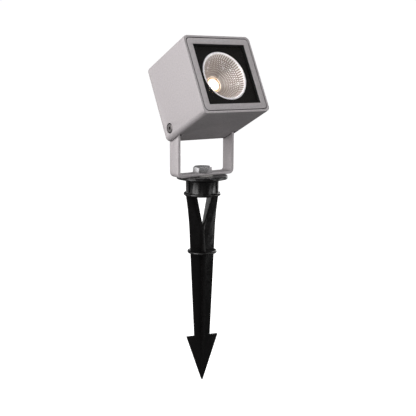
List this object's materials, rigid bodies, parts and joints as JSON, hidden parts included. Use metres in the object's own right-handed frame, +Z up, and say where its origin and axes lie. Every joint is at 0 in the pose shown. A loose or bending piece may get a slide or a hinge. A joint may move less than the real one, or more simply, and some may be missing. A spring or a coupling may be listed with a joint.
{
  "type": "garden spike spotlight",
  "caption": "Square-bodied LED garden spotlight that tilts in a flat-bar yoke, bolted to a barbed plastic ground spike.",
  "frame": {"origin": "on the spike's axis, at the underside of the ground flange, which is ground level in use", "axes": "+Z up along the spike, the lamp faces -Y, the tilt pivot runs along X"},
  "size_m": [0.08, 0.1009, 0.3593],
  "materials": {
    "grey_powder_coat": "fine-textured silver-grey powder coat on die-cast aluminium",
    "yoke_paint": "fine-textured silver-grey powder coat on steel",
    "stainless_steel": "satin stainless",
    "zinc_steel": "bright zinc plate",
    "clear_glass": "clear tempered",
    "black_silicone": "matt",
    "black_plate": "matt black",
    "reflector_metal": "bright faceted",
    "holder_plastic": "satin white",
    "led_phosphor": "lit warm white",
    "led_ceramic": "matt white",
    "thermal_silicone": "matt",
    "bare_aluminium": "extruded",
    "driver_plastic": "matt",
    "terminal_plastic": "matt",
    "gland_plastic": "moulded nylon",
    "gland_rubber": "matt",
    "black_plastic": "moulded, satin gloss",
    "nylon": "natural"
  },
  "bodies": {
    "spike": {"spike_body": "black_plastic", "spike_cap": "black_plastic", "mounting_bolt": "zinc_steel", "friction_washer": "nylon", "captive_nut": "zinc_steel"},
    "yoke": {"yoke_bracket": "yoke_paint", "pivot_screws": "stainless_steel", "pivot_washers": "stainless_steel"},
    "head": {"housing": "grey_powder_coat", "front_bezel": "grey_powder_coat", "bezel_screws": "stainless_steel", "front_glass": "clear_glass", "glass_gasket": "black_silicone", "baffle_plate": "black_plate", "reflector": "reflector_metal", "led_holder": "holder_plastic", "led_holder_screws": "stainless_steel", "led_emitter": "led_phosphor", "led_board": "led_ceramic", "thermal_pad": "thermal_silicone", "heat_sink": "bare_aluminium", "heat_sink_screws": "stainless_steel", "rear_cover": "grey_powder_coat", "rear_gasket": "black_silicone", "rear_cover_screws": "stainless_steel", "driver_module": "driver_plastic", "driver_screws": "stainless_steel", "terminal_block": "terminal_plastic", "terminal_screw": "stainless_steel", "gland_body": "gland_plastic", "gland_seal": "gland_rubber", "gland_nut": "gland_plastic", "gland_locknut": "gland_plastic"}
  },
  "joints": [
    {"name": "yoke_pan", "type": "hinge", "parent": "spike", "child": "yoke", "pos_m": [0, 0, 0.003], "axis": [0, 0, 1], "range_deg": [-180, 180]},
    {"name": "head_tilt", "type": "hinge", "parent": "yoke", "child": "head", "pos_m": [0, 0, 0.0526], "axis": [-1, 0, 0], "range_deg": [-26.3, 63.7]}
  ]
}
